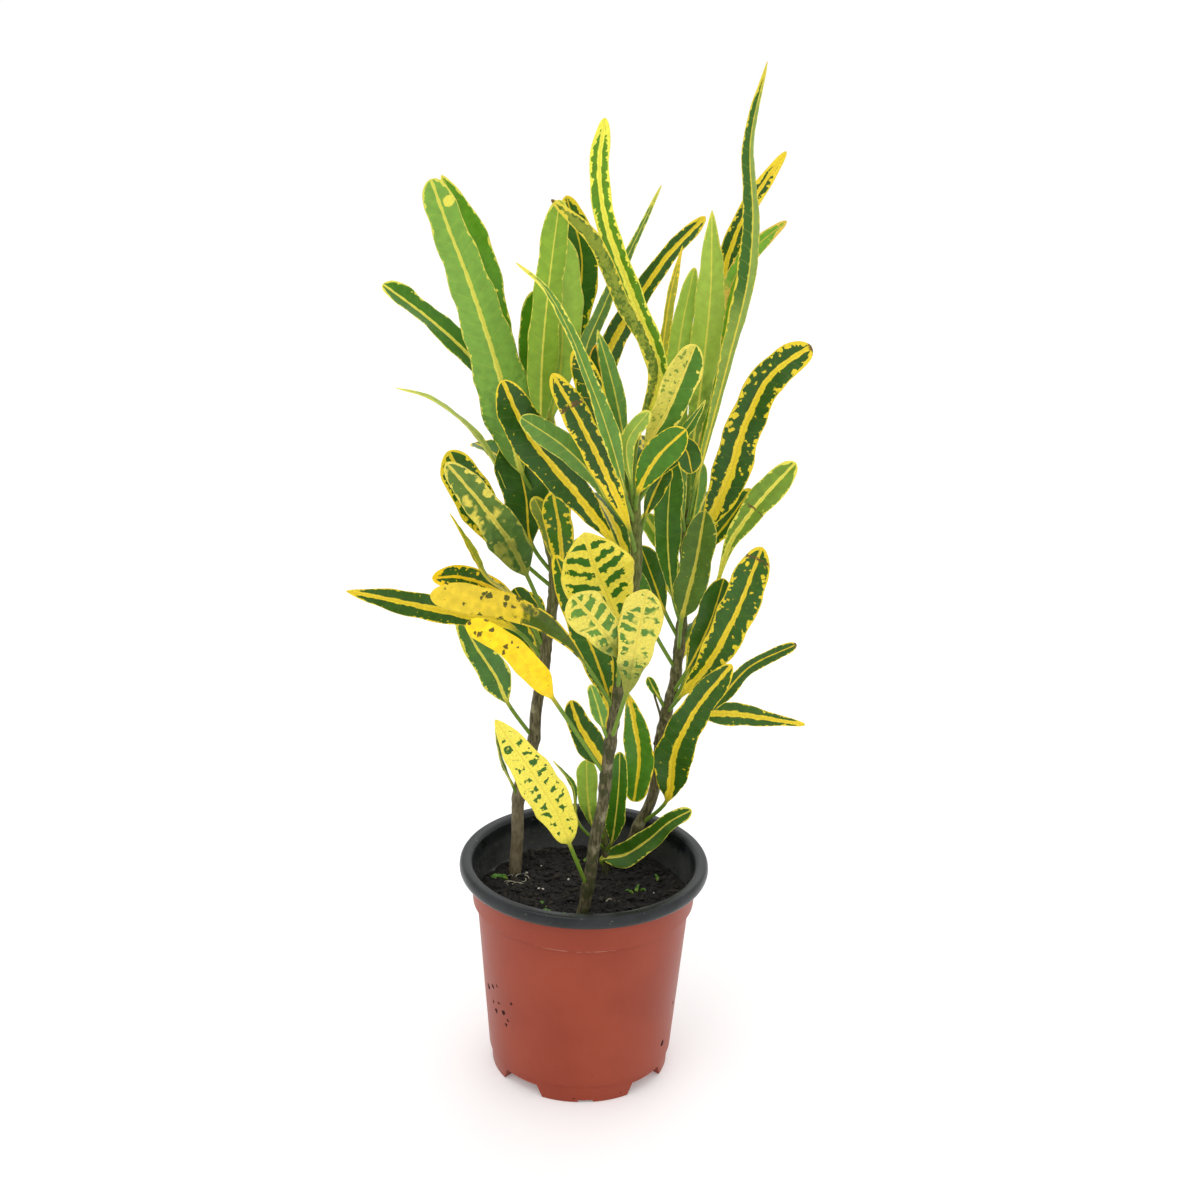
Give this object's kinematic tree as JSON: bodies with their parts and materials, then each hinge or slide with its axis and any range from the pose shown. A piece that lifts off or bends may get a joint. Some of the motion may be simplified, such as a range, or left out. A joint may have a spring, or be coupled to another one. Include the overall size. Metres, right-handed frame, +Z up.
{
  "type": "potted croton plant",
  "caption": "Leafy croton with narrow green and yellow leaves on woody stems, in a round tapering nursery pot filled with soil.",
  "frame": {"origin": "middle of the pot's foot, on the surface that the pot stands on", "axes": "+Z up along the pot's axis; the front of the plant looks along -Y, with +X to its right as seen"},
  "size_m": [0.2354, 0.1491, 0.5268],
  "materials": {
    "pot_plastic": "satin terracotta outside, charcoal inside and on the lip",
    "soil": "dark loose potting mix with pale grains",
    "foliage": "glossy green leaves with yellow ribs, margins and spots; pale green undersides; grey-brown bark"
  },
  "bodies": {
    "root": {"pot": "pot_plastic", "soil": "soil", "leafy_stem_left": "foliage", "leafy_stem_middle": "foliage", "leafy_stem_right": "foliage", "leafy_stem_low": "foliage"}
  },
  "joints": []
}
